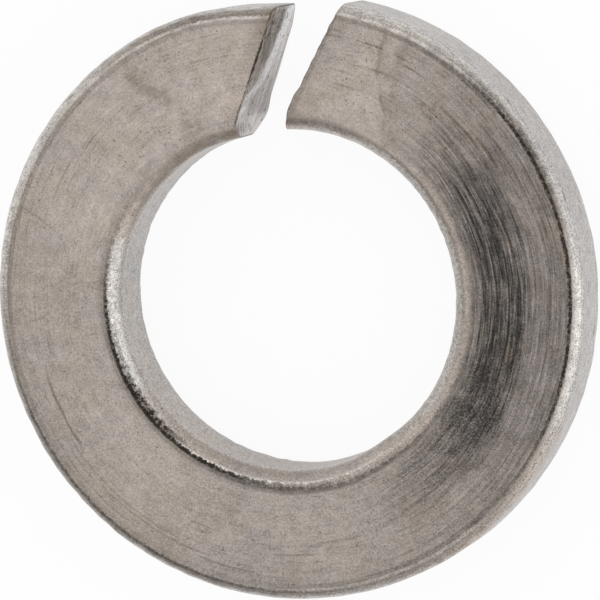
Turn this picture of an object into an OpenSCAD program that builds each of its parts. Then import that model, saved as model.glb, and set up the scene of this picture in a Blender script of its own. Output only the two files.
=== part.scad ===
// Spring lock washer: one turn of rounded rectangular wire, wound as a left-hand coil
// round the Z axis and parted by a slanting split at +Y. The low end lies right of the
// split and stands on Z = 0, and the high end lies left of it.

/* [Bolt hole] */
// Diameter of the bore that the bolt passes through
bore_d = 8.1; // [5:0.1:12]

/* [Wire section] */
// Radial width of the wire, from the bore to the rim
section_w = 3.15; // [2:0.05:5]
// Thickness of the wire, half way across its width
section_t = 1.95; // [1.2:0.05:3]
// How much thicker the wire is at the bore than at the rim
section_taper = 0.06; // [0:0.02:0.3]
// Radius of the wire's four rounded corners
corner_r = 0.4; // [0.1:0.01:0.5]

/* [Coil] */
// Height that the wire gains in one full turn
coil_rise = 1.5; // [0.6:0.1:4]

/* [Split] */
// Width of the split, half way across the wire
split_w = 0.95; // [0.5:0.05:2]
// Angle from the radius to the split, towards the low end at the rim
split_skew = 22; // [0:1:35]
// Angle between the two cut faces, which opens the split towards the rim
split_flare = 6; // [0:1:7]

/* [Hidden] */

// Degrees of turn from one ring of points on the coil to the next
coil_step = 5;
// Flat steps across each rounded corner
corner_steps = 4;
// Extra width of the coil on each side, which the bore and the rim trim off
wall_trim = 0.25;
// Angle left of each rounded corner where a straight edge takes over to cross the wall
corner_lap = 15;

bore_r = bore_d / 2;
rim_r = bore_r + section_w;
middle_r = (bore_r + rim_r) / 2;
foot_r = bore_r + corner_r;
full_turn = 360;
free_height = section_t + section_taper / 2 + coil_rise;

// Fall of that straight edge, at twice corner_lap from the wall, out to the coil's edge
tip_drop = (wall_trim + corner_r * (1 - cos(corner_lap))) / tan(2 * corner_lap);

// Coil rings stop half way between the middle of the split and its nearer face
end_gap = asin(split_w / 4 / rim_r);
ring_count = ceil((full_turn - 2 * end_gap) / coil_step);

// Thickness of the wire at radius r: it falls evenly from the bore to the rim.
function wire_t(r) = section_t + section_taper * (middle_r - r) / section_w;

// Clockwise angle from +Y at which a line, drawn through (x, y) at `slant` degrees
// clockwise from +Y, crosses the circle of radius r.
function line_angle(r, slant, x, y) = slant + asin((x * cos(slant) - y * sin(slant)) / r);

// The middle of the split, and the low end's cut face, at radius r.
function split_angle(r) = line_angle(r, split_skew, 0, middle_r);
function low_cut_angle(r) = line_angle(
    r,
    split_skew + split_flare / 2,
    split_w / 2 * cos(split_skew),
    middle_r - split_w / 2 * sin(split_skew)
);

// Height of the middle of the wire where the coil has turned `angle` degrees. The low
// end stands on Z = 0 where the flat of its lower face begins, next to the bore.
function coil_z(angle) =
    wire_t(foot_r) / 2 + coil_rise * (angle - low_cut_angle(foot_r)) / full_turn;

// Half of the section's outline, from the rim over one face to the bore, as
// [radius, height] points. It starts and ends in a point past the wall, which
// crosses the wall at corner_lap, where the rounded corner has come that close to it.
function half_outline() =
    let (
        rim_z = wire_t(rim_r) / 2 - corner_r,
        bore_z = wire_t(bore_r) / 2 - corner_r,
        arc = [for (i = [0:corner_steps]) corner_lap + (90 - corner_lap) * i / corner_steps]
    )
    concat(
        [[rim_r + wall_trim, rim_z + corner_r * sin(corner_lap) - tip_drop]],
        [for (a = arc) [rim_r - corner_r * (1 - cos(a)), rim_z + corner_r * sin(a)]],
        [for (i = [0:corner_steps]) let (a = arc[corner_steps - i])
            [bore_r + corner_r * (1 - cos(a)), bore_z + corner_r * sin(a)]],
        [[bore_r - wall_trim, bore_z + corner_r * sin(corner_lap) - tip_drop]]
    );

// The whole outline, anticlockwise, with its middle at height 0.
function section() =
    let (top = half_outline(), n = len(top))
    concat(top, [for (i = [n - 1:-1:0]) [top[i][0], -top[i][1]]]);

// The outline laid at ring number i of the coil, slanted as the split is.
function ring(i, outline) = [
    for (p = outline)
        let (a = split_angle(p[0]) + end_gap + (full_turn - 2 * end_gap) * i / ring_count)
        [p[0] * sin(a), p[0] * cos(a), coil_z(a) + p[1]]
];

module coil() {
    outline = section();
    count = len(outline);
    points = [for (i = [0:ring_count]) each ring(i, outline)];
    walls = [
        for (i = [0:ring_count - 1], j = [0:count - 1])
            let (
                here = i * count + j,
                beside = i * count + (j + 1) % count,
                ahead = here + count,
                across = beside + count
            )
            each [[here, ahead, beside], [beside, ahead, across]]
    ];
    first_end = [for (j = [0:count - 1]) j];
    last_end = [for (j = [count - 1:-1:0]) ring_count * count + j];
    polyhedron(points = points, faces = concat([first_end], walls, [last_end]), convexity = 4);
}

// A round bar about the Z axis, past both ends of the coil. The line where its wall
// starts and ends lies in the split, clear of the metal.
module round_bar(r, margin) {
    translate([0, 0, -margin])
        rotate([0, 0, 90 - split_angle(r)])
            cylinder(r = r, h = free_height + 2 * margin, $fn = 180);
}

// Round walls of the bore and the rim.
module bore_and_rim() {
    difference() {
        round_bar(rim_r, section_t);
        round_bar(bore_r, 2 * section_t);
    }
}

// The wedge of space between the two cut faces, which is narrower at the bore.
module split() {
    half_w = split_w / 2;
    slope = tan(split_flare / 2);
    reach_out = section_w;
    reach_in = min(section_w, 0.9 * half_w / slope);
    wide = half_w + reach_out * slope;
    narrow = half_w - reach_in * slope;
    translate([0, middle_r, free_height / 2])
        rotate([0, 0, -split_skew])
            linear_extrude(height = 2 * free_height, center = true)
                polygon([
                    [-narrow, -reach_in],
                    [narrow, -reach_in],
                    [wide, reach_out],
                    [-wide, reach_out]
                ]);
}

module lock_washer() {
    color([0.64, 0.61, 0.58])
        intersection() {
            difference() {
                coil();
                split();
            }
            bore_and_rim();
        }
}

lock_washer();
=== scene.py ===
"""A spring lock washer of worn steel wire on a pale studio floor, laid out as an add-on."""

import math

import bpy
import numpy as np
from mathutils import Matrix, Vector


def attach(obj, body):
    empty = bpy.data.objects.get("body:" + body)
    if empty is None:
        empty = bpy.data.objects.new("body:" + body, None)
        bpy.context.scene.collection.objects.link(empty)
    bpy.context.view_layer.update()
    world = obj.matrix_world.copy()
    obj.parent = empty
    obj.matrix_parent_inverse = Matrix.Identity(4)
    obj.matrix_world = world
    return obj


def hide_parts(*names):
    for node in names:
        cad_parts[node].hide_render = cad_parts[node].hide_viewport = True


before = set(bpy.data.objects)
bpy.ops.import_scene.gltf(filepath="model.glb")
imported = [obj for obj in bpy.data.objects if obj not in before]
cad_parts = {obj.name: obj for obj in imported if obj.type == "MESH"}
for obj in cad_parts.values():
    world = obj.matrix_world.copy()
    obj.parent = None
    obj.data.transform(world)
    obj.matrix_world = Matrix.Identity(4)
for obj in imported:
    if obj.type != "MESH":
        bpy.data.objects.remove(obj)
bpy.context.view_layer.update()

bl_info = {
    "name": "Spring Lock Washer",
    "version": (1, 0, 0),
    "blender": (4, 5, 0),
    "location": "View3D > Sidebar > Lock Washer",
    "description": "Builds a coiled spring lock washer of worn steel wire and its studio",
    "category": "Add Mesh",
}

MM = 0.001
FULL_TURN = 2 * math.pi
LOW_END, HIGH_END = 1, -1

# Steps across each corner, face and wall of the wire's section, along the coil, round a cut
# edge, and from a cut face's edge to its middle
CORNER_STEPS = 12
FACE_STEPS = 28
WALL_STEPS = 12
COIL_STEPS = 640
EDGE_STEPS = 4
CUT_STEPS = 14

# Uneven walls, each as (clockwise degrees from the split, spread in degrees, mm outwards)
RIM_BULGES = ((141, 13, 0.034), (58, 16, -0.014), (92, 12, -0.018), (266, 30, -0.016), (359, 12, -0.12))
BORE_BULGES = ((144, 9, -0.040), (172, 14, 0.024), (300, 20, 0.020), (330, 12, 0.034))

# The burnished ridge on the high end's cut face: where it starts by the rim, its height there,
# its slope inwards, and where it bends near the bore and by how much it gets steeper, in
# shares of the wire's width from the bore and of its thickness
RIDGE_START, RIDGE_FOOT, RIDGE_SLOPE = 0.97, 0.40, 0.62
RIDGE_BEND, RIDGE_STEEPER = 0.42, 1.3

# Order of the marks along the section's outline, by the part that starts at each
RIM_WALL, RIM_TOP, UPPER_FACE, BORE_TOP, BORE_WALL, BORE_FOOT = range(2, 8)

# What the camera aims at, in mm right of and above the coil's middle in the picture
AIM_RIGHT, AIM_UP = 0.096, -0.045
# Half of the floor's side in m, and how much of its seen colour is its own glow
FLOOR_HALF, FLOOR_GLOW = 1.5, 0.93


class WasherSizes(bpy.types.PropertyGroup):
    """Sizes of the coil and of its split."""

    bore_diameter: bpy.props.FloatProperty(
        name="Bore", description="Diameter of the bolt hole", default=8.1 * MM, unit="LENGTH", precision=5
    )
    wire_width: bpy.props.FloatProperty(
        name="Wire Width", description="Width of the wire from bore to rim",
        default=3.15 * MM, unit="LENGTH", precision=5
    )
    wire_thickness: bpy.props.FloatProperty(
        name="Wire Thickness", description="Thickness half way across the wire",
        default=1.95 * MM, unit="LENGTH", precision=5
    )
    wire_taper: bpy.props.FloatProperty(
        name="Taper", description="Extra thickness at the bore over the rim",
        default=0.06 * MM, unit="LENGTH", precision=5
    )
    bore_corner: bpy.props.FloatProperty(
        name="Bore Corner", description="Radius of the wire's corners at the bore",
        default=0.40 * MM, unit="LENGTH", precision=5
    )
    rim_corner: bpy.props.FloatProperty(
        name="Rim Corner", description="Radius of the wire's corners at the rim",
        default=0.30 * MM, unit="LENGTH", precision=5
    )
    coil_rise: bpy.props.FloatProperty(
        name="Rise", description="Height that the wire gains in one turn",
        default=1.5 * MM, unit="LENGTH", precision=5
    )
    split_width: bpy.props.FloatProperty(
        name="Split", description="Width of the split half way across the wire",
        default=0.95 * MM, unit="LENGTH", precision=5
    )
    split_skew: bpy.props.FloatProperty(
        name="Split Skew", description="Angle from the radius to the split",
        default=math.radians(22), subtype="ANGLE"
    )
    split_flare: bpy.props.FloatProperty(
        name="Split Flare", description="Angle between the two cut faces",
        default=math.radians(6), subtype="ANGLE"
    )
    cut_edge: bpy.props.FloatProperty(
        name="Cut Edge", description="Radius that the shear left on the cut edges",
        default=0.035 * MM, unit="LENGTH", precision=6
    )


class SteelFinish(bpy.types.PropertyGroup):
    """Colours and roughness of the worn steel."""

    grey: bpy.props.FloatVectorProperty(
        name="Grey", description="Cool purplish grey of the face",
        default=(0.488, 0.434, 0.398), subtype="COLOR"
    )
    tan: bpy.props.FloatVectorProperty(
        name="Tan", description="Warm yellowish grey of the face's dull patches",
        default=(0.477, 0.416, 0.367), subtype="COLOR"
    )
    wall: bpy.props.FloatVectorProperty(
        name="Wall", description="Pale grey of the rim and bore walls",
        default=(0.53, 0.505, 0.49), subtype="COLOR"
    )
    # Partly real wear and partly a painted highlight: the bright bands along the corners and the bright
    # rolled top edge of the cut faces
    worn: bpy.props.FloatVectorProperty(
        name="Worn Edge", description="Bright metal of the rubbed corners",
        default=(0.70, 0.665, 0.62), subtype="COLOR"
    )
    # Partly real wear and partly a painted highlight: the bright band along the bore's upper corner
    glint: bpy.props.FloatVectorProperty(
        name="Glint", description="Cooler bright metal of the bore's rubbed corner",
        default=(0.70, 0.69, 0.665), subtype="COLOR"
    )
    # Partly polished metal and partly a painted dark reflection: the dark zone of the upper face
    burnished: bpy.props.FloatVectorProperty(
        name="Burnished", description="Dark grey of the polished zone",
        default=(0.060, 0.055, 0.052), subtype="COLOR"
    )
    # Partly dirt and partly painted dark reflection and shade: the dark lines along the corners and a
    # painted shadow beside the cut faces; also the dark pits of the cut faces
    grime_and_painted_shade: bpy.props.FloatVectorProperty(
        name="Grime", description="Near black brown in the lines along the corners",
        default=(0.035, 0.028, 0.022), subtype="COLOR"
    )
    stain: bpy.props.FloatVectorProperty(
        name="Stain", description="Brown of the stains",
        default=(0.18, 0.135, 0.095), subtype="COLOR"
    )
    roughness: bpy.props.FloatProperty(
        name="Roughness", description="Roughness of the dull face",
        default=0.42, min=0, max=1, subtype="FACTOR"
    )


class StudioSetup(bpy.types.PropertyGroup):
    """Camera, floor and light."""

    camera_azimuth: bpy.props.FloatProperty(
        name="Lean Right", description="Lean of the camera from straight above towards +X",
        default=math.radians(17.20), subtype="ANGLE"
    )
    camera_elevation: bpy.props.FloatProperty(
        name="Lean Back", description="Lean of the camera from straight above towards +Y",
        default=math.radians(7.17), subtype="ANGLE"
    )
    camera_distance: bpy.props.FloatProperty(
        name="Distance", description="Distance from the middle of the coil",
        default=101.55 * MM, unit="LENGTH", precision=4
    )
    lens: bpy.props.FloatProperty(
        name="Lens", description="Focal length on a 36 mm sensor", default=253.8, unit="CAMERA"
    )
    floor_colour: bpy.props.FloatVectorProperty(
        name="Floor", description="Colour of the floor", default=(0.92, 0.92, 0.92), subtype="COLOR"
    )
    light: bpy.props.FloatProperty(
        name="Light", description="Brightness of the studio's surroundings", default=1.0, min=0
    )


def smooth_step(low, high, value):
    """Rises from 0 at low to 1 at high as 3 t squared minus 2 t cubed."""
    t = np.clip((value - low) / (high - low), 0, 1)
    return t * t * (3 - 2 * t)


def hump(value, centre, spread):
    """Bell curve: 1 at the centre, and e to the minus 1 at one spread from it."""
    return np.exp(-(((value - centre) / spread) ** 2))


def ripple(x, y, wavelength, seed, waves=20):
    """Soft random relief from -1 to 1: the mean of plane cosine waves with seeded directions
    and phases, and with wavelengths between half and one and a half times the given one."""
    rng = np.random.default_rng(seed)
    direction = rng.uniform(0, FULL_TURN, waves)
    pace = FULL_TURN / (wavelength * rng.uniform(0.5, 1.5, waves))
    phase = rng.uniform(0, FULL_TURN, waves)
    total = np.zeros(np.broadcast(x, y).shape)
    for k in range(waves):
        total += np.cos(pace[k] * (x * np.cos(direction[k]) + y * np.sin(direction[k])) + phase[k])
    return total / math.sqrt(waves)


def bore_radius(sizes):
    """Half of the bore's diameter."""
    return sizes.bore_diameter / 2


def rim_radius(sizes):
    """The bore's radius plus the wire's width."""
    return bore_radius(sizes) + sizes.wire_width


def middle_radius(sizes):
    """The bore's radius plus half of the wire's width."""
    return bore_radius(sizes) + sizes.wire_width / 2


def wire_outline(sizes):
    """Outline of the wire's section as (points, normals, path, marks), anticlockwise from
    the bore side of its lower face.

    Each point is a radius and a height from the middle of the wire. A point of a side is
    its start plus a share of its length, and a point of a corner is the corner's centre plus
    its radius times the cosine and sine of an angle that grows by a quarter turn. The path
    is the length of outline up to each point, and ends with the whole length. The marks are
    the path at the start of each side and each corner.
    """
    bore, rim = bore_radius(sizes), rim_radius(sizes)
    bore_half = (sizes.wire_thickness + sizes.wire_taper / 2) / 2
    rim_half = (sizes.wire_thickness - sizes.wire_taper / 2) / 2
    bend = [sizes.rim_corner, sizes.rim_corner, sizes.bore_corner, sizes.bore_corner]
    centres = np.array(
        [
            (rim - bend[0], bend[0] - rim_half),
            (rim - bend[1], rim_half - bend[1]),
            (bore + bend[2], bore_half - bend[2]),
            (bore + bend[3], bend[3] - bore_half),
        ]
    )
    points, normals, counts = [], [], [0]
    for k, steps in enumerate((FACE_STEPS, WALL_STEPS, FACE_STEPS, WALL_STEPS)):
        facing = (k - 1) * math.pi / 2
        outward = np.array([[math.cos(facing), math.sin(facing)]])
        start = centres[k - 1] + bend[k - 1] * outward
        end = centres[k] + bend[k] * outward
        points.append(start + np.linspace(0, 1, steps, endpoint=False)[:, None] * (end - start))
        normals.append(np.repeat(outward, steps, axis=0))
        swing = facing + np.linspace(0, math.pi / 2, CORNER_STEPS, endpoint=False)
        around = np.stack([np.cos(swing), np.sin(swing)], axis=1)
        points.append(centres[k] + bend[k] * around)
        normals.append(around)
        counts += [steps, CORNER_STEPS]
    points, normals = np.concatenate(points), np.concatenate(normals)
    lengths = np.linalg.norm(np.diff(points, axis=0, append=points[:1]), axis=1)
    path = np.concatenate([[0], np.cumsum(lengths)])
    return points, normals, path, path[np.cumsum(counts)]


def cut_angle(sizes, radius, end):
    """Clockwise angle from +Y at which an end's cut face crosses a radius: the face's slant
    plus the arc sine of its distance from the axis over the radius."""
    slant = sizes.split_skew + end * sizes.split_flare / 2
    x = end * sizes.split_width / 2 * math.cos(sizes.split_skew)
    y = middle_radius(sizes) - end * sizes.split_width / 2 * math.sin(sizes.split_skew)
    offset = x * math.cos(slant) - y * math.sin(slant)
    return slant + np.arcsin(offset / radius) + (FULL_TURN if end == HIGH_END else 0)


def coil_height(sizes, angle):
    """Height of the wire's middle: it starts half a thickness up at the foot of the low end
    and gains the rise in one full turn."""
    foot = bore_radius(sizes) + sizes.bore_corner
    foot_half = (sizes.wire_thickness + sizes.wire_taper * (0.5 - sizes.bore_corner / sizes.wire_width)) / 2
    return foot_half + sizes.coil_rise * (angle - cut_angle(sizes, foot, LOW_END)) / FULL_TURN


def wall_shift(angle, bulges):
    """How far a wall stands outwards at an angle: the sum of bell curves, one per bulge."""
    degrees = np.degrees(angle)
    return MM * sum(out * hump(degrees, centre, spread) for centre, spread, out in bulges)


def place(sizes, radius, height, angle):
    """A point of the wire in space: the radius takes up the bulges of both walls in
    proportion, the angle turns it clockwise from +Y, and the coil lifts it."""
    share = (radius - bore_radius(sizes)) / sizes.wire_width
    radius = radius + (1 - share) * wall_shift(angle, BORE_BULGES) + share * wall_shift(angle, RIM_BULGES)
    return np.stack(
        [radius * np.sin(angle), radius * np.cos(angle), coil_height(sizes, angle) + height], axis=-1
    )


def low_cut_relief(across, up):
    """Depth of the low end's cut face in mm, from how far across the wire and how far up its
    thickness a point lies, both from 0 to 1. It bulges into the split, most near the bore."""
    bulge = 0.06 + 0.05 * hump(across, 0.45, 0.25) + 0.10 * hump(across, 0.20, 0.13)
    torn = ripple(3.15 * across, 1.95 * up, 0.30, seed=6)
    return 0.05 * smooth_step(0.82, 1.0, across) - bulge + 0.008 * torn


def ridge_height(across):
    """How far up the high end's cut face its burnished ridge runs, from 0 to 1: below the
    middle at the rim, rising evenly inwards, and faster near the bore."""
    rise = RIDGE_SLOPE * (RIDGE_START - across) + RIDGE_STEEPER * np.maximum(RIDGE_BEND - across, 0)
    return RIDGE_FOOT + rise


def high_cut_relief(across, up):
    """Depth of the high end's cut face in mm. Its foot stands proud near the bore. The torn
    metal above the ridge lies deeper and is rough."""
    foot = 0.06 * smooth_step(0.80, 0.96, across) - 0.05 * hump(across, 0.40, 0.25)
    foot -= 0.10 * hump(across, 0.15, 0.11)
    head = 0.03 * hump(across, 0.26, 0.10) - 0.03 * hump(across, 0.60, 0.16)
    head += 0.008 * ripple(9 * across, 0, 0.6, seed=5)
    above = up - ridge_height(across)
    torn = smooth_step(0.04, 0.14, above) * smooth_step(0.22, 0.45, across)
    rough = ripple(3.15 * across, 1.95 * up, 0.26, seed=8)
    ridge = 0.02 * hump(above, 0.0, 0.09) * smooth_step(0.15, 0.4, across)
    nose = 0.15 * (1 - smooth_step(0.0, 0.13, across)) * smooth_step(0.0, 0.8, up)
    return (1 - up) * foot + up * head + torn * (0.035 + 0.020 * rough) - ridge - nose


CUT_RELIEFS = {LOW_END: low_cut_relief, HIGH_END: high_cut_relief}


def end_angle(sizes, radius, height, end, depth):
    """Clockwise angle of a point that lies a depth below an end's cut face: the cut angle
    plus that depth and the face's own relief, both over the radius."""
    across = (radius - bore_radius(sizes)) / sizes.wire_width
    up = height / sizes.wire_thickness + 0.5
    sunk = depth + MM * CUT_RELIEFS[end](across, up)
    return cut_angle(sizes, radius, end) + end * sunk / radius


def coil_grid(sizes):
    """The coil's side as a grid of points: rows of the outline at even steps of angle.

    Row and column give the angle and the place on the outline. Each column starts and ends
    one cut edge's radius short of its own crossing of the cut faces, so the first and last
    rows lie slanted as the split does. A soft relief along the normal, stronger at the
    corners, keeps the edges from being perfect.
    """
    points, normals, path, _ = wire_outline(sizes)
    radius, height = points.T
    first = end_angle(sizes, radius, height, LOW_END, sizes.cut_edge)
    last = end_angle(sizes, radius, height, HIGH_END, sizes.cut_edge)
    share = np.linspace(0, 1, COIL_STEPS + 1)[:, None]
    angle = first + share * (last - first)
    along = angle * middle_radius(sizes)
    around = path[:-1] + 0 * angle
    corner = np.abs(2 * normals[:, 0] * normals[:, 1])
    relief = 0.003 * MM * ripple(along / MM, around / MM, 0.9, seed=3)
    relief += 0.009 * MM * corner * ripple(along / MM, around / MM, 0.55, seed=4)
    relief *= smooth_step(0, 0.02, share) * smooth_step(0, 0.02, 1 - share)
    shape = place(sizes, radius + relief * normals[:, 0], height + relief * normals[:, 1], angle)
    return shape, angle, around


def cut_grid(sizes, end):
    """One end of the wire as a grid of points, from the coil's end row to the middle of the
    cut face, and the point in its middle.

    The first rows turn a quarter circle from the coil's side to the cut face, drawing the
    outline in by the cut edge's radius. The others shrink that outline towards its centre
    in even steps, and each point is sunk by the relief of the cut face.
    """
    points, normals, _, _ = wire_outline(sizes)
    turn = np.linspace(0, math.pi / 2, EDGE_STEPS + 1)[1:, None]
    edge = points - sizes.cut_edge * (1 - np.cos(turn))[..., None] * normals
    edge_depth = sizes.cut_edge * (1 - np.sin(turn)) + 0 * points[:, 0]
    centre = np.array([middle_radius(sizes), 0.0])
    shrink = 1 - np.linspace(0, 1, CUT_STEPS, endpoint=False)[1:, None, None]
    face = centre + shrink * (edge[-1] - centre)
    rows = np.concatenate([edge, face])
    depth = np.concatenate([edge_depth, np.zeros(face.shape[:2])])
    radius, height = rows[..., 0], rows[..., 1]
    shape = place(sizes, radius, height, end_angle(sizes, radius, height, end, depth))
    middle = place(sizes, *centre, end_angle(sizes, *centre, end, 0.0))
    across = (radius - bore_radius(sizes)) / sizes.wire_width
    return shape, middle, across, height / sizes.wire_thickness + 0.5


def grid_faces(rows, columns):
    """Quads between neighbouring rows of a grid whose columns run in a closed loop."""
    here = np.arange(rows - 1)[:, None] * columns + np.arange(columns)
    beside = np.arange(rows - 1)[:, None] * columns + (np.arange(columns) + 1) % columns
    return np.stack([here, here + columns, beside + columns, beside], axis=-1).reshape(-1, 4)


def build_mesh(name, points, quads, triangles, uvs):
    """A mesh from arrays of points, quads and triangles, with one UV pair for each corner."""
    mesh = bpy.data.meshes.new(name)
    corners = np.concatenate([quads.ravel(), triangles.ravel()]).astype(np.int32)
    starts = np.concatenate(
        [np.arange(len(quads)) * 4, quads.size + np.arange(len(triangles)) * 3]
    ).astype(np.int32)
    mesh.vertices.add(len(points))
    mesh.vertices.foreach_set("co", points.astype(np.float32).ravel())
    mesh.loops.add(len(corners))
    mesh.loops.foreach_set("vertex_index", corners)
    mesh.polygons.add(len(starts))
    mesh.polygons.foreach_set("loop_start", starts)
    mesh.update(calc_edges=True)
    layer = mesh.uv_layers.new(name="wire")
    layer.uv.foreach_set("vector", uvs.astype(np.float32).ravel())
    mesh.shade_smooth()
    mesh.validate()
    return mesh


def coil_mesh(sizes):
    """The whole washer: the coil's grid with a cut grid and its pole at each end."""
    path = wire_outline(sizes)[2]
    side, angle, around = coil_grid(sizes)
    low, low_pole, low_across, low_up = cut_grid(sizes, LOW_END)
    high, high_pole, high_across, high_up = cut_grid(sizes, HIGH_END)
    points = np.concatenate([low[::-1], side, high])
    rows, columns = points.shape[:2]
    quads = grid_faces(rows, columns)
    column = np.arange(columns)
    beside = (column + 1) % columns
    last = (rows - 1) * columns
    low_fan = np.stack([column, beside, np.full(columns, rows * columns)], axis=1)
    high_fan = np.stack([last + beside, last + column, np.full(columns, rows * columns + 1)], axis=1)
    triangles = np.concatenate([low_fan, high_fan])
    wire_length = FULL_TURN * middle_radius(sizes)
    cut_rows = len(low)

    # Along the wire by angle and around it by outline; on a cut face, across it and up it
    u = np.zeros((rows, columns + 1))
    v = np.zeros((rows, columns + 1))
    u[cut_rows:-cut_rows] = np.column_stack([angle, angle[:, :1]]) / FULL_TURN
    v[:] = path / path[-1]
    cut_u = sizes.wire_width / wire_length
    cut_v = sizes.wire_thickness / path[-1]
    for rows_of, across, up in (
        (slice(cut_rows - 1, None, -1), low_across, low_up),
        (slice(rows - cut_rows, rows), high_across, high_up),
    ):
        u[rows_of] = np.column_stack([across, across[:, :1]]) * cut_u
        v[rows_of] = np.column_stack([up, up[:, :1]]) * cut_v
    corner_u = np.stack([u[:-1, :-1], u[1:, :-1], u[1:, 1:], u[:-1, 1:]], axis=-1)
    corner_v = np.stack([v[:-1, :-1], v[1:, :-1], v[1:, 1:], v[:-1, 1:]], axis=-1)
    # A quad that joins the coil's side to its cut edge takes the side's angle throughout
    joint = [cut_rows - 1, rows - 1 - cut_rows]
    corner_u[joint] = np.stack([u[cut_rows, :-1], u[-cut_rows - 1, :-1]])[..., None]
    corner_v[joint] = (v[cut_rows, :-1])[None, :, None]
    quad_uv = np.stack([corner_u, corner_v], axis=-1).reshape(-1, 2)
    fan_uv = np.tile([[cut_u / 2, cut_v / 2]], (triangles.size, 1))
    uvs = np.concatenate([quad_uv, fan_uv])

    poles = np.stack([low_pole, high_pole])
    mesh = build_mesh("washer_coil", np.concatenate([points.reshape(-1, 3), poles]), quads, triangles, uvs)

    # Faces beyond the coil's own rows belong to the cut faces
    row_of_quad = np.repeat(np.arange(rows - 1), columns)
    on_cut = (row_of_quad < cut_rows - EDGE_STEPS) | (row_of_quad >= rows - 1 - cut_rows + EDGE_STEPS)
    slots = np.concatenate([on_cut, np.ones(len(triangles), bool)]).astype(np.int32)
    mesh.polygons.foreach_set("material_index", slots)
    return mesh


def new_material(name):
    """An empty material with its shader and output, as (material, tree, shader)."""
    material = bpy.data.materials.new(name)
    material.use_nodes = True
    tree = material.node_tree
    tree.nodes.clear()
    shader = tree.nodes.new("ShaderNodeBsdfPrincipled")
    output = tree.nodes.new("ShaderNodeOutputMaterial")
    tree.links.new(shader.outputs["BSDF"], output.inputs["Surface"])
    return material, tree, shader


def new_node(tree, kind, inputs, **settings):
    """A node with its settings, its inputs each linked to an output or set to a plain value."""
    node = tree.nodes.new("ShaderNode" + kind)
    for name, value in settings.items():
        setattr(node, name, value)
    for key, value in inputs.items():
        if isinstance(value, bpy.types.NodeSocket):
            tree.links.new(value, node.inputs[key])
        else:
            node.inputs[key].default_value = value
    return node


def calculate(tree, operation, first, second=0.0, clamp=False):
    """A Math node's output."""
    return new_node(tree, "Math", {0: first, 1: second}, operation=operation, use_clamp=clamp).outputs[0]


def fade(tree, value, low, high, to_low=0.0, to_high=1.0):
    """A smooth step from to_low at low to to_high at high."""
    inputs = {"Value": value, "From Min": low, "From Max": high, "To Min": to_low, "To Max": to_high}
    return new_node(tree, "MapRange", inputs, interpolation_type="SMOOTHSTEP").outputs[0]


def mix_colour(tree, share, first, second, blend="MIX"):
    """A colour Mix node's output. Plain colours have three numbers."""
    first, second = (c if isinstance(c, bpy.types.NodeSocket) else (*c, 1.0) for c in (first, second))
    inputs = {0: share, 6: first, 7: second}
    return new_node(tree, "Mix", inputs, data_type="RGBA", blend_type=blend).outputs[2]


def grey_colour(tree, value):
    """A colour whose three channels are one value."""
    return new_node(tree, "CombineColor", {0: value, 1: value, 2: value}).outputs[0]


def scaled(tree, vector, scale):
    """A coordinate times a scale on each axis."""
    return new_node(tree, "Mapping", {"Vector": vector, "Scale": scale}).outputs[0]


def separate(tree, vector):
    """The three parts of a coordinate."""
    return new_node(tree, "SeparateXYZ", {0: vector}).outputs


def noise(tree, vector, scale, detail=2.0, roughness=0.5):
    """A Noise Texture's value at a coordinate. A scale of three numbers stretches it."""
    if not isinstance(scale, (int, float)):
        vector, scale = scaled(tree, vector, scale), 1.0
    inputs = {"Vector": vector, "Scale": scale, "Detail": detail, "Roughness": roughness}
    return new_node(tree, "TexNoise", inputs).outputs[0]


def product(tree, *factors):
    """The product of any number of outputs and plain numbers."""
    total = factors[0]
    for factor in factors[1:]:
        total = calculate(tree, "MULTIPLY", total, factor)
    return total


def shifted(tree, value, *moves):
    """A value moved by noise fields, each given as (field, amount): a field swings about one
    half, and moves the value by up to half of its amount."""
    for field, amount in moves:
        swing = calculate(tree, "SUBTRACT", field, 0.5)
        value = calculate(tree, "ADD", value, calculate(tree, "MULTIPLY", swing, amount))
    return value


def band(tree, value, start, end, soft_start, soft_end=None):
    """1 between start and end, falling to 0 within the soft widths outside them."""
    soft_end = soft_start if soft_end is None else soft_end
    return product(
        tree, fade(tree, value, start - soft_start, start), fade(tree, value, end, end + soft_end, 1.0, 0.0)
    )


def ring_line(tree, value, centre, half_width, feather):
    """1 within a half width of a centre line, falling to 0 within the feather."""
    off = calculate(tree, "ABSOLUTE", calculate(tree, "SUBTRACT", value, centre))
    return fade(tree, off, half_width, half_width + feather, 1.0, 0.0)


def curve(tree, value, points):
    """A Float Curve through points of (value, result), the values from 0 to 1."""
    node = new_node(tree, "FloatCurve", {"Value": value})
    line = node.mapping.curves[0]
    line.points[0].location, line.points[1].location = points[0], points[-1]
    for point in points[1:-1]:
        line.points.new(*point)
    node.mapping.update()
    return node.outputs[0]


def dress(tree, shader, colour, rough, normal):
    """Gives a shader a bare metal's colour, roughness and relief."""
    shader.inputs["Metallic"].default_value = 1.0
    for name, output in (("Base Color", colour), ("Roughness", rough), ("Normal", normal)):
        tree.links.new(output, shader.inputs[name])


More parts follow.
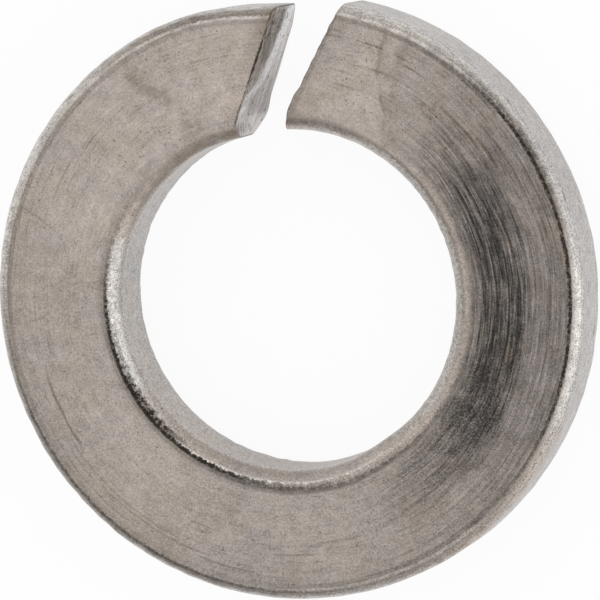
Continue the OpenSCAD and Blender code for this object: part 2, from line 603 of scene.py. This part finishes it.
def wire_coordinates(tree, sizes):
    """Places on the wire as a dictionary of outputs: solid, in mm through the metal; flat, in
    mm along and around the wire; degrees, clockwise from the split; around, in mm along the
    outline; across, the share of the upper face from rim to bore."""
    coordinates = new_node(tree, "TexCoord", {})
    uv = new_node(tree, "UVMap", {}, uv_map="wire")
    _, _, path, marks = wire_outline(sizes)
    turn, share, _ = separate(tree, uv.outputs["UV"])
    around = calculate(tree, "MULTIPLY", share, path[-1] / MM)
    face = {"Value": around, "From Min": marks[UPPER_FACE] / MM, "From Max": marks[BORE_TOP] / MM}
    return {
        "solid": scaled(tree, coordinates.outputs["Object"], (1 / MM, 1 / MM, 1 / MM)),
        "flat": scaled(tree, uv.outputs["UV"], (FULL_TURN * middle_radius(sizes) / MM, path[-1] / MM, 1)),
        "turn": calculate(tree, "ADD", turn, 0.0, clamp=True),
        "degrees": calculate(tree, "MULTIPLY", turn, 360.0),
        "around": around,
        "across": new_node(tree, "MapRange", face, clamp=False).outputs[0],
    }


def bump(tree, height, distance, normal=None):
    """A Bump node's normal."""
    inputs = {"Strength": 1.0, "Distance": distance, "Height": height}
    if normal is not None:
        inputs["Normal"] = normal
    return new_node(tree, "Bump", inputs).outputs[0]


# Bands along the upper corners, as (mm from the face's edge towards the wall, half width,
# feather, colour, strengths), the strengths in points of (share of the turn, strength). The worn and
# glint bands are partly wear and partly painted highlights, and the dark bands are partly dirt and
# partly painted dark reflection and shade
RIM_BANDS = (
    (0.48, 0.26, 0.15, "tan", ((0, 0), (0.29, 0), (0.33, 0.8), (0.41, 0.8), (0.46, 0), (1, 0))),
    (0.42, 0.08, 0.14, "worn", ((0, 0), (0.46, 0), (0.53, 0.6), (0.7, 0.9), (0.78, 0.9), (0.87, 0.5),
     (0.92, 0.2), (1, 0.1))),
    (0.20, 0.06, 0.13, "worn", ((0, 0.5), (0.08, 0.4), (0.14, 0.2), (0.20, 0.08), (0.23, 0.7),
     (0.28, 0.78), (0.31, 0.3), (0.34, 0.05), (0.5, 0), (0.6, 0.3), (0.72, 0.7), (0.8, 0.8), (0.87, 0.6),
     (0.92, 0.35), (1, 0.3))),
    (0.17, 0.06, 0.09, "stain", ((0, 0.2), (0.08, 0.15), (0.14, 0.2), (0.2, 0), (0.3, 0), (0.35, 0.2),
     (0.45, 0.35), (0.52, 0.3), (0.7, 0.3), (0.76, 0.1), (0.82, 0), (0.88, 0.15), (0.93, 0.45), (1, 0.45))),
    (0.05, 0.025, 0.03, "worn", ((0, 0.8), (0.08, 0.9), (0.11, 0.9), (0.14, 0.2), (0.18, 0), (0.34, 0),
     (0.4, 0.5), (0.5, 0.4), (0.58, 0), (0.72, 0), (0.76, 0.6), (0.9, 0.6), (1, 0.7))),
    (-0.05, 0.03, 0.05, "grime_and_painted_shade", ((0, 0.3), (0.06, 0.25), (0.08, 0.35), (0.12, 0.35), (0.14, 0),
     (0.34, 0), (0.38, 0.3), (0.42, 0.3), (0.5, 0.1), (0.6, 0.1), (0.68, 0.2), (0.9, 0.2), (1, 0.15))),
    (0.15, 0.03, 0.09, "grime_and_painted_shade", ((0, 0.1), (0.09, 0.1), (0.13, 0.2), (0.2, 0), (0.44, 0.1), (0.5, 0.2),
     (0.72, 0.1), (0.78, 0), (0.92, 0.1), (0.95, 0.3), (1, 0.2))),
    (0.015, 0.022, 0.045, "grime_and_painted_shade", ((0, 0), (0.08, 0.1), (0.13, 0.8), (0.18, 1), (0.26, 1), (0.30, 0.8),
     (0.34, 0.5), (0.38, 0.3), (0.48, 0.1), (0.7, 0.1), (0.76, 0.2), (0.9, 0.1), (1, 0))),
    (0.085, 0.015, 0.045, "grime_and_painted_shade", ((0, 0), (0.45, 0.1), (0.52, 0.4), (0.66, 0.5), (0.7, 0.4),
     (0.76, 0.1), (1, 0))),
)
# Strengths of the comb of short dark teeth on the rim's corner, partly dirt and partly painted dark
# reflection
RIM_COMB = (
    (0, 0), (0.09, 0.1), (0.12, 0.5), (0.155, 0.7), (0.19, 0.4), (0.24, 0.1), (0.5, 0), (0.58, 0.3),
    (0.7, 0.25), (0.76, 0), (1, 0),
)
BORE_BANDS = (
    (1.05, 0.50, 0.20, "tan", ((0, 0), (0.40, 0), (0.48, 0.5), (0.62, 0.5), (0.72, 0.2), (0.80, 0),
     (1, 0))),
    (-0.06, 0.05, 0.07, "grime_and_painted_shade", ((0, 0), (0.12, 0.05), (0.2, 0.2), (0.3, 0.3), (0.36, 0.4), (0.43, 0.5),
     (0.5, 0.4), (0.56, 0.08), (0.8, 0.1), (0.92, 0.06), (1, 0))),
    (0.32, 0.09, 0.15, "stain", ((0, 0), (0.42, 0), (0.5, 0.25), (0.6, 0.35), (0.65, 0.2), (0.69, 0),
     (0.8, 0), (0.86, 0.2), (0.9, 0.35), (1, 0.4))),
    (0.30, 0.09, 0.13, "glint", ((0, 0.1), (0.1, 0.5), (0.3, 0.5), (0.38, 0.2), (0.5, 0.1), (0.6, 0.2),
     (0.66, 0.4), (0.69, 0.88), (0.78, 0.88), (0.81, 0.3), (0.84, 0), (1, 0))),
    (0.13, 0.02, 0.03, "worn", ((0, 0), (0.36, 0.1), (0.42, 0.5), (0.5, 0.8), (0.58, 1), (0.61, 0.3),
     (0.68, 0), (1, 0))),
    (0.03, 0.04, 0.06, "tan", ((0, 0.6), (0.1, 0.6), (0.42, 0.6), (0.5, 0.1), (0.55, 0), (1, 0))),
    (0.15, 0.02, 0.05, "stain", ((0, 0.1), (0.06, 0.2), (0.12, 0.45), (0.22, 0.35), (0.28, 0.2),
     (0.4, 0), (0.78, 0), (0.84, 0.25), (0.9, 0.05), (1, 0))),
    (0.23, 0.05, 0.08, "stain", ((0, 0.35), (0.05, 0.4), (0.1, 0), (0.84, 0), (0.9, 0.15), (1, 0.45))),
    (0.50, 0.08, 0.12, "stain", ((0, 0), (0.78, 0), (0.85, 0.25), (0.92, 0.4), (1, 0.3))),
    (0.15, 0.03, 0.13, "grime_and_painted_shade", ((0, 0.35), (0.04, 0.25), (0.1, 0), (0.57, 0), (0.6, 0.4), (0.64, 0.8),
     (0.68, 0.6), (0.72, 0.25), (0.77, 0), (1, 0))),
    (-0.02, 0.02, 0.06, "grime_and_painted_shade", ((0, 0), (0.42, 0), (0.48, 0.4), (0.54, 0.5), (0.6, 0.3), (0.7, 0.3),
     (0.78, 0.1), (0.86, 0.05), (1, 0))),
    (0.070, 0.028, 0.042, "grime_and_painted_shade", ((0, 0), (0.4, 0), (0.48, 0.2), (0.53, 0.6), (0.6, 1.1), (0.68, 1.15),
     (0.71, 0.9), (0.75, 0.75), (0.79, 0.4), (0.84, 0.25), (0.92, 0.05), (1, 0))),
)
# Painted light and shade on the upper face round the turn, as a brightness about one half
FACE_LIGHT_AND_SHADE = (
    (0, 0.54), (0.05, 0.54), (0.09, 0.46), (0.13, 0.44), (0.33, 0.445), (0.42, 0.46), (0.5, 0.455),
    (0.6, 0.475), (0.75, 0.48), (0.86, 0.53), (1, 0.53),
)
# Painted light and shade on the upper face from rim to bore, as a brightness about one half
LIGHT_AND_SHADE_ACROSS = ((0, 0.465), (0.15, 0.485), (0.45, 0.505), (0.7, 0.52), (0.88, 0.515), (1, 0.495))
# Strength of the fine grain round the turn
GRAIN_TURN = ((0, 0.84), (0.08, 0.84), (0.15, 1), (0.80, 1), (0.86, 0.82), (1, 0.82))
# Stain lines across the upper face, as (half width in degrees, strength, centre line), the
# line in points of (share across from rim to bore, degrees)
STAIN_LINES = (
    (0.75, 0.50, ((0.0, 20.0), (0.30, 20.4), (0.45, 21.6), (0.62, 24.2), (0.78, 27.6), (1.0, 29.3))),
    (3.60, 0.32, ((0.0, 22.5), (0.50, 25.0), (0.75, 29.0), (1.0, 32.0))),
    (2.60, 0.36, ((0.0, 325.0), (0.25, 327.0), (0.45, 329.0), (0.70, 332.0), (1.0, 335.0))),
    (0.40, 0.25, ((0.0, 47.5), (0.35, 46.8), (0.60, 47.2), (1.0, 47.0))),
    (0.35, 0.30, ((0.0, 288.0), (0.30, 287.0), (0.55, 283.0), (0.64, 279.0), (0.70, 276.0), (1.0, 276.0))),
    (0.35, 0.25, ((0.0, 264.0), (0.35, 265.0), (0.60, 268.0), (0.70, 272.0), (1.0, 272.0))),
)
# Long scratches along the upper face, as (share across, start and end in degrees, half width
# in mm, strength)
SCRATCHES = (
    (0.270, 234, 252, 0.014, 0.60),
    (0.175, 196, 224, 0.010, 0.35),
    (0.215, 204, 236, 0.008, 0.35),
    (0.080, 214, 243, 0.010, 0.30),
    (0.215, 46, 64, 0.012, 0.65),
    (0.380, 38, 50, 0.014, 0.60),
    (0.120, 60, 80, 0.014, 0.35),
    (0.130, 186, 199, 0.012, 0.40),
)


def polish_and_dark_reflection_zone(tree, places, jag):
    """How polished the upper face is, and how far its colour is darkened there as a painted dark
    reflection,
    from 0 to 1: most on its bore half, about 70 to 115 degrees from the split, and less on its rim half."""
    degrees = shifted(tree, places["degrees"], (jag, 20.0))
    across = shifted(tree, places["across"], (jag, 0.11))
    inner = product(tree, band(tree, degrees, 70, 114, 44, 58), band(tree, across, 0.54, 0.93, 0.24, 0.06))
    outer = product(tree, band(tree, degrees, 66, 114, 38, 48), band(tree, across, 0.02, 0.80, 0.04, 0.15))
    return calculate(tree, "ADD", product(tree, inner, 0.48), product(tree, outer, 0.36), clamp=True)


def beside_cut(tree, sizes, places, end):
    """Distance in mm from an end's cut face, along the wire: the angle between the point
    and the cut at the point's radius, times that radius."""
    x, y, _ = separate(tree, places["solid"])
    radius = calculate(tree, "SQRT", calculate(tree, "ADD", product(tree, x, x), product(tree, y, y)))
    slant = sizes.split_skew + end * sizes.split_flare / 2
    middle = middle_radius(sizes)
    offset = middle * math.sin(float(cut_angle(sizes, middle, end)) - slant) / MM
    turn = FULL_TURN if end == HIGH_END else 0.0
    crossing = calculate(tree, "ARCSINE", calculate(tree, "DIVIDE", offset, radius))
    cut = calculate(tree, "ADD", crossing, slant + turn)
    gap = calculate(tree, "SUBTRACT", product(tree, places["degrees"], math.radians(1)), cut)
    return product(tree, gap, radius, end)


def stain_lines(tree, places, jag):
    """Brown lines across the upper face that thin out and thicken at random."""
    degrees = shifted(tree, places["degrees"], (jag, 2.8))
    total = 0.0
    for half_width, strength, points in STAIN_LINES:
        centre = curve(tree, places["across"], [(share, angle / 360) for share, angle in points])
        centre = calculate(tree, "MULTIPLY", centre, 360.0)
        line = product(tree, ring_line(tree, degrees, centre, half_width * 0.3, half_width), strength)
        total = calculate(tree, "MAXIMUM", line, total)
    return product(tree, total, band(tree, places["across"], 0.0, 1.0, 0.03))


def scratches(tree, places, jag):
    """Long thin scratches along the wire on the upper face."""
    across = shifted(tree, places["across"], (jag, 0.035))
    total = 0.0
    for share, start, end, half_width, strength in SCRATCHES:
        line = ring_line(tree, across, share, half_width * 0.4, half_width)
        line = product(tree, line, band(tree, places["degrees"], start + 3, end - 3, 5), strength)
        total = calculate(tree, "MAXIMUM", line, total)
    return total


def corner_bands(tree, colour, finish, off_edge, turn, bands, breaks):
    """Lays the bands of a corner over a colour. Each breaks up where its noise is low."""
    for centre, half_width, feather, name, strengths in bands:
        line = ring_line(tree, off_edge, centre, half_width, feather)
        share = product(tree, line, curve(tree, turn, strengths), breaks[name])
        share = calculate(tree, "MINIMUM", share, 1.0)
        colour = mix_colour(tree, share, colour, getattr(finish, name))
    return colour


def worn_steel(sizes, finish):
    """Worn drawn steel: a dull face of grey and tan patches with fine grain and painted light and shade,
    scratches along the wire, a polished zone darkened partly by a painted dark reflection, brown
    stains, pale walls, and corners that are partly rubbed and partly painted highlights, with dark
    lines beside them that are partly dirt and partly painted dark reflection and shade, and a painted
    shadow beside the cut faces."""
    material, tree, shader = new_material("worn_steel")
    places = wire_coordinates(tree, sizes)
    solid, flat, turn, degrees = (places[k] for k in ("solid", "flat", "turn", "degrees"))
    around, across = places["around"], places["across"]
    mark = wire_outline(sizes)[3] / MM

    # Noise fields, even through the metal or drawn out along the wire
    grain = noise(tree, solid, 23, detail=2, roughness=0.75)
    mottle = noise(tree, solid, 3.0, detail=4, roughness=0.70)
    patches = noise(tree, solid, 0.9, detail=3, roughness=0.65)
    flecks = noise(tree, solid, 10, detail=4, roughness=0.80)
    jag = noise(tree, solid, 1.9, detail=4, roughness=0.65)
    sway = shifted(tree, 0.0, (noise(tree, solid, 0.3, detail=0), 0.16))
    along = calculate(tree, "MULTIPLY", degrees, math.radians(middle_radius(sizes) / MM))
    swayed = new_node(tree, "CombineXYZ", {0: along, 1: calculate(tree, "ADD", around, sway)})
    streaks = noise(tree, swayed.outputs[0], (0.5, 12, 1), detail=2, roughness=0.85)
    threads = noise(tree, swayed.outputs[0], (1.3, 30, 1), detail=1, roughness=0.7)
    long_lines = noise(tree, swayed.outputs[0], (0.45, 13, 1), detail=3, roughness=0.6)
    broad = noise(tree, solid, 0.42, detail=2)
    teeth = noise(tree, flat, (12, 4, 1), detail=4, roughness=0.85)
    strokes = noise(tree, flat, (5, 14, 1), detail=2, roughness=0.75)
    edge = shifted(tree, around, (grain, 0.08), (jag, 0.07))

    # Colour: the patched face with its painted light and shade, the pale walls, and the bands along the
    # corners, partly painted highlights and dark reflections
    colour = mix_colour(tree, fade(tree, patches, 0.38, 0.62), finish.grey, finish.tan)
    # Painted light and shade round the turn and across the face. Both tones lie about one half, so four
    # times their product lies about 1
    lit = product(tree, curve(tree, turn, FACE_LIGHT_AND_SHADE), curve(tree, across, LIGHT_AND_SHADE_ACROSS), 4.0)
    colour = mix_colour(tree, 1.0, colour, grey_colour(tree, lit), "MULTIPLY")
    rim_wall = band(tree, edge, mark[RIM_WALL] - 0.2, mark[RIM_TOP] + 0.26, 0.12)
    bore_wall = band(tree, edge, mark[BORE_WALL] + 0.06, mark[BORE_FOOT] + 0.2, 0.32, 0.12)
    bore_wall = calculate(tree, "ADD", bore_wall, band(tree, edge, -0.5, -0.1, 0.1), clamp=True)
    walls = calculate(tree, "ADD", rim_wall, product(tree, bore_wall, 0.8), clamp=True)
    colour = mix_colour(tree, walls, colour, finish.wall)
    # How much each colour of the corner bands shows from spot to spot
    rubbed = fade(tree, flecks, 0.38, 0.58, 0.2, 1.15)
    calm = product(
        tree, fade(tree, flecks, 0.34, 0.60, 0.6, 1.0), fade(tree, mottle, 0.38, 0.56, 0.55, 1.15)
    )
    breaks = {
        "worn": rubbed,
        "glint": rubbed,
        "tan": 1.0,
        "stain": fade(tree, mottle, 0.30, 0.60, 0.4, 1.3),
        "grime_and_painted_shade": fade(tree, flecks, 0.64, 0.40, 0.6, 1.4),
    }
    off_rim = calculate(tree, "SUBTRACT", mark[UPPER_FACE], edge)
    off_bore = shifted(tree, calculate(tree, "SUBTRACT", edge, mark[BORE_TOP]), (flecks, 0.15))
    colour = corner_bands(tree, colour, finish, off_rim, turn, RIM_BANDS, {**breaks, "worn": calm})
    # A comb of short dark teeth on the rim's corner, partly dirt and partly painted dark reflection
    comb = product(tree, band(tree, off_rim, 0.04, 0.09, 0.04, 0.18), curve(tree, turn, RIM_COMB))
    comb = product(tree, comb, fade(tree, teeth, 0.38, 0.58, 0.15, 1.0))
    colour = mix_colour(tree, comb, colour, finish.grime_and_painted_shade)
    colour = corner_bands(tree, colour, finish, off_bore, turn, BORE_BANDS, breaks)

    # The polished zone, darkened as polished metal and as a painted dark reflection, with fine streaks
    # along the wire and a coarser grain
    polish_and_dark_reflection = polish_and_dark_reflection_zone(tree, places, jag)
    streaked = shifted(
        tree, 1.02,
        (streaks, fade(tree, degrees, 90, 125, -2.1, -0.6)),
        (threads, fade(tree, degrees, 95, 135, -1.0, -0.5)),
        (grain, fade(tree, degrees, 90, 125, -0.5, -1.5)),
        (mottle, -0.6),
    )
    shade = calculate(tree, "MULTIPLY", polish_and_dark_reflection, streaked, clamp=True)
    colour = mix_colour(tree, shade, colour, finish.burnished)
    scratched = product(
        tree,
        fade(tree, long_lines, 0.54, 0.66),
        fade(tree, jag, 0.42, 0.58),
        band(tree, across, 0.02, 0.42, 0.05, 0.4),
        fade(tree, degrees, 120, 160, 0.75, 0.4),
    )
    stained = product(tree, stain_lines(tree, places, jag), fade(tree, jag, 0.30, 0.60))
    specks = fade(tree, noise(tree, solid, 14, detail=1), 0.66, 0.76)
    specks = product(tree, specks, fade(tree, jag, 0.35, 0.60), 0.8)
    for marks in (scratched, stained, specks, scratches(tree, places, jag)):
        colour = mix_colour(tree, marks, colour, finish.stain)
    # Beside each cut face: a thin dark line, a painted shadow under the rolled cut edge, and a soft brown
    # band that is partly stain and partly painted shade
    for end, reach, strength in ((HIGH_END, 0.036, 1.0), (LOW_END, 0.02, 0.22)):
        gap = shifted(tree, beside_cut(tree, sizes, places, end), (grain, 0.05), (jag, 0.10))
        line = fade(tree, gap, reach * 0.6, reach * 2.2, 1.0, 0.0)
        line = product(tree, line, band(tree, across, -0.1, 0.98, 0.1), strength)
        colour = mix_colour(tree, line, colour, finish.grime_and_painted_shade)
        soft = product(tree, fade(tree, gap, 0.0, 0.5, 1.0, 0.0), fade(tree, across, 0.10, 0.45, 1.0, 0.3))
        colour = mix_colour(tree, product(tree, soft, strength * 0.5), colour, finish.stain)
    wall_marks = fade(tree, noise(tree, flat, (2.2, 4.5, 1), detail=1), 0.66, 0.76)
    wall_marks = product(tree, walls, wall_marks, 0.6)
    colour = mix_colour(tree, wall_marks, colour, finish.stain)
    graininess = product(tree, fade(tree, walls, 0.0, 0.5, 1.4, 2.1), curve(tree, turn, GRAIN_TURN))
    tone = shifted(
        tree, 0.96,
        (broad, 0.35),
        (grain, graininess),
        (strokes, fade(tree, walls, 0.3, 0.9)),
        (mottle, fade(tree, walls, 0.0, 1.0, 0.7, 0.35)),
        (streaks, fade(tree, polish_and_dark_reflection, 0.0, 0.3, 0.35, 1.1)),
        (threads, fade(tree, polish_and_dark_reflection, 0.0, 0.3, 0.2, 0.7)),
    )
    colour = mix_colour(tree, 1.0, colour, grey_colour(tree, tone), "MULTIPLY")

    # Roughness: the polished zone and the corners are smoother than the face
    rough = shifted(tree, finish.roughness, (grain, 0.14))
    rough = calculate(tree, "SUBTRACT", rough, product(tree, polish_and_dark_reflection, 0.17))
    rim_corner = band(tree, around, mark[RIM_TOP], mark[UPPER_FACE], 0.05)
    bore_corner = band(tree, around, mark[BORE_TOP], mark[BORE_WALL], 0.05)
    at_corner = calculate(tree, "ADD", rim_corner, bore_corner, clamp=True)
    rough = calculate(tree, "SUBTRACT", rough, product(tree, at_corner, 0.20))

    # Relief: broad unevenness, lines along the wire, and grain that is coarser at the corners
    normal = bump(tree, noise(tree, solid, 2.2, detail=3), 0.010 * MM)
    drawn = product(tree, streaks, calculate(tree, "SUBTRACT", 1.0, product(tree, at_corner, 0.8)))
    normal = bump(tree, drawn, 0.006 * MM, normal)
    pitted = product(tree, grain, calculate(tree, "ADD", 1.0, product(tree, at_corner, 1.4)))
    dress(tree, shader, colour, rough, bump(tree, pitted, 0.009 * MM, normal))
    return material


def sheared_steel(sizes, finish):
    """The cut faces: a bright burnished ridge that climbs from the rim's foot to the bore's top, its
    brightness partly a painted highlight, torn brown metal above it, grey metal with scratches along the
    cut below it, a painted highlight along the rolled top edge, and painted light and shade, brighter
    below the ridge and darker near the bore."""
    material, tree, shader = new_material("sheared_steel")
    places = wire_coordinates(tree, sizes)
    flat, solid = places["flat"], places["solid"]
    along, height, _ = separate(tree, flat)
    across = product(tree, along, MM / sizes.wire_width)
    up = product(tree, height, MM / sizes.wire_thickness)
    grain = noise(tree, solid, 15, detail=3, roughness=0.75)
    torn = noise(tree, solid, 3.5, detail=5, roughness=0.7)
    strokes = noise(tree, flat, (0.7, 9, 1), detail=4, roughness=0.7)
    slope = product(tree, across, -RIDGE_SLOPE)
    ridge = calculate(tree, "ADD", RIDGE_FOOT + RIDGE_SLOPE * RIDGE_START, slope)
    inside = calculate(tree, "MAXIMUM", calculate(tree, "SUBTRACT", RIDGE_BEND, across), 0.0)
    steeper = product(tree, inside, RIDGE_STEEPER)
    ridge = calculate(tree, "ADD", shifted(tree, ridge, (torn, 0.16)), steeper)
    above = calculate(tree, "SUBTRACT", up, ridge)
    colour = mix_colour(tree, fade(tree, strokes, 0.35, 0.65), (0.38, 0.355, 0.34), (0.76, 0.73, 0.715))
    brown = product(tree, fade(tree, above, 0.02, 0.16), fade(tree, across, 0.40, 0.62))
    brown = product(tree, brown, fade(tree, torn, 0.40, 0.58, 0.0, 0.5))
    # A bright band along the ridge: burnished metal whose brightness is partly a painted highlight
    bright = ring_line(tree, above, -0.13, 0.11, 0.10)
    bright = product(tree, bright, fade(tree, grain, 0.36, 0.60, 0.5, 1.0))
    head = product(tree, fade(tree, above, 0.05, 0.20), fade(tree, across, 0.42, 0.20), 0.5)
    # A painted highlight along the rolled top edge of the cut face
    lip_highlight = product(tree, fade(tree, shifted(tree, up, (grain, 0.08)), 0.94, 0.975), 0.7)
    pits = product(tree, fade(tree, noise(tree, solid, 7, detail=2), 0.60, 0.70), 0.6)
    for share, paint in (
        (brown, finish.stain), (bright, (0.83, 0.825, 0.835)), (head, finish.wall), (lip_highlight, finish.worn),
        (pits, finish.grime_and_painted_shade),
    ):
        colour = mix_colour(tree, share, colour, paint)
    # Painted light and shade: brighter below the ridge, darker near the bore
    tone = product(
        tree, fade(tree, above, -0.25, 0.0, 1.12, 0.97), fade(tree, across, 0.15, 0.40, 0.86, 1.0)
    )
    tone = shifted(tree, tone, (grain, 1.0), (torn, 0.9))
    colour = mix_colour(tree, 1.0, colour, grey_colour(tree, tone), "MULTIPLY")
    rough = fade(tree, torn, 0.3, 0.7, 0.30, 0.48)
    normal = bump(tree, torn, 0.015 * MM)
    normal = bump(tree, strokes, 0.012 * MM, normal)
    dress(tree, shader, colour, rough, bump(tree, grain, 0.008 * MM, normal))
    return material


class WASHER_OT_coil(bpy.types.Operator):
    """Build the coiled, split wire in worn steel"""

    bl_idname = "washer.coil"
    bl_label = "Coil"

    def execute(self, context):
        sizes = context.scene.washer_sizes
        mesh = coil_mesh(sizes)
        coil = bpy.data.objects.new("washer_coil", mesh)
        context.scene.collection.objects.link(coil)
        mesh.materials.append(worn_steel(sizes, context.scene.steel_finish))
        mesh.materials.append(sheared_steel(sizes, context.scene.steel_finish))
        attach(coil, "root")
        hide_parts("lock_washer")
        return {"FINISHED"}


def leaning(right, back):
    """Unit vector that points straight up, leant towards +X and then towards +Y by two
    angles in radians."""
    return Vector((math.sin(right) * math.cos(back), math.sin(back), math.cos(right) * math.cos(back)))


def add_camera(scene, sizes, studio):
    """A long lens above the washer, level with the picture's edges."""
    toward = leaning(studio.camera_azimuth, studio.camera_elevation)
    right = Vector((0, 1, 0)).cross(toward).normalized()
    up = toward.cross(right)
    middle = Vector((0, 0, float(coil_height(sizes, math.pi))))
    target = middle + AIM_RIGHT * MM * right + AIM_UP * MM * up
    data = bpy.data.cameras.new("camera")
    data.sensor_width = 36
    data.lens = studio.lens
    data.clip_start = 0.005
    data.clip_end = 10
    camera = bpy.data.objects.new("camera", data)
    camera.matrix_world = Matrix.Translation(target + studio.camera_distance * toward) @ Matrix(
        (right, up, toward)
    ).transposed().to_4x4()
    scene.collection.objects.link(camera)
    scene.camera = camera


def add_floor(scene, studio):
    """A wide pale floor. What looks at it or reflects it sees it near white, with the shadow."""
    corners = [(FLOOR_HALF * x, FLOOR_HALF * y, 0) for x, y in ((-1, -1), (1, -1), (1, 1), (-1, 1))]
    mesh = bpy.data.meshes.new("floor")
    mesh.from_pydata(corners, [], [(0, 1, 2, 3)])
    floor = bpy.data.objects.new("floor", mesh)
    scene.collection.objects.link(floor)
    material, tree, shader = new_material("pale_floor")
    shader.inputs["Base Color"].default_value = (*studio.floor_colour, 1)
    shader.inputs["Roughness"].default_value = 0.9
    shader.inputs["Specular IOR Level"].default_value = 0.1
    glow = new_node(tree, "Emission", {})
    path = new_node(tree, "LightPath", {})
    seen = calculate(tree, "ADD", path.outputs["Is Camera Ray"], path.outputs["Is Glossy Ray"])
    seen = calculate(tree, "ADD", seen, path.outputs["Is Transmission Ray"], clamp=True)
    share = calculate(tree, "MULTIPLY", seen, FLOOR_GLOW)
    mix = new_node(tree, "MixShader", {0: share, 1: shader.outputs[0], 2: glow.outputs[0]})
    tree.links.new(mix.outputs[0], tree.nodes["Material Output"].inputs["Surface"])
    mesh.materials.append(material)


def add_light(scene, studio):
    """Soft light from all round. A round dark patch hangs overhead, left of the middle, as a
    lens would, the light from low on the right is stronger, and from low in front weaker."""
    world = bpy.data.worlds.new("studio")
    scene.world = world
    world.use_nodes = True
    tree = world.node_tree
    background = tree.nodes["Background"]
    around = new_node(tree, "TexCoord", {}).outputs["Generated"]

    def within(direction, inner, outer, level):
        """1 outside the outer angle about a direction, and the level inside the inner one, by
        the dot product of that direction and the light's."""
        node = new_node(tree, "VectorMath", {0: around, 1: direction}, operation="DOT_PRODUCT")
        far, near = math.cos(math.radians(outer)), math.cos(math.radians(inner))
        return fade(tree, node.outputs["Value"], far, near, 1.0, level)

    patch = within(leaning(math.radians(-9), math.radians(-2)), inner=6, outer=13, level=0.02)
    front = within((-0.47, -0.88, 0.0), inner=35, outer=72, level=0.72)
    right = within((0.97, 0.2, 0.1), inner=25, outer=75, level=1.30)
    level = product(tree, patch, front, right, studio.light)
    tree.links.new(level, background.inputs["Strength"])
    background.inputs["Color"].default_value = (1, 1, 1, 1)


class WASHER_OT_studio(bpy.types.Operator):
    """Set up the camera, the pale floor and the soft light"""

    bl_idname = "washer.studio"
    bl_label = "Studio"

    def execute(self, context):
        scene = context.scene
        studio = scene.studio_setup
        add_camera(scene, scene.washer_sizes, studio)
        add_floor(scene, studio)
        add_light(scene, studio)
        scene.view_settings.view_transform = "Standard"
        return {"FINISHED"}


class WASHER_PT_panel(bpy.types.Panel):
    """Lists the washer's sizes, finish and studio with their operators"""

    bl_label = "Lock Washer"
    bl_idname = "WASHER_PT_panel"
    bl_space_type = "VIEW_3D"
    bl_region_type = "UI"
    bl_category = "Lock Washer"

    def draw(self, context):
        scene = context.scene
        for group, operator in (
            (scene.washer_sizes, None),
            (scene.steel_finish, WASHER_OT_coil.bl_idname),
            (scene.studio_setup, WASHER_OT_studio.bl_idname),
        ):
            box = self.layout.box()
            # The first two names are those that every group has
            for name in group.bl_rna.properties.keys()[2:]:
                box.prop(group, name)
            if operator:
                box.operator(operator)


CLASSES = (WasherSizes, SteelFinish, StudioSetup, WASHER_OT_coil, WASHER_OT_studio, WASHER_PT_panel)


def register():
    for cls in CLASSES:
        bpy.utils.register_class(cls)
    bpy.types.Scene.washer_sizes = bpy.props.PointerProperty(type=WasherSizes)
    bpy.types.Scene.steel_finish = bpy.props.PointerProperty(type=SteelFinish)
    bpy.types.Scene.studio_setup = bpy.props.PointerProperty(type=StudioSetup)


def unregister():
    del bpy.types.Scene.studio_setup
    del bpy.types.Scene.steel_finish
    del bpy.types.Scene.washer_sizes
    for cls in reversed(CLASSES):
        bpy.utils.unregister_class(cls)


def main():
    register()
    bpy.ops.washer.studio()
    bpy.ops.washer.coil()


if __name__ == "__main__":
    main()
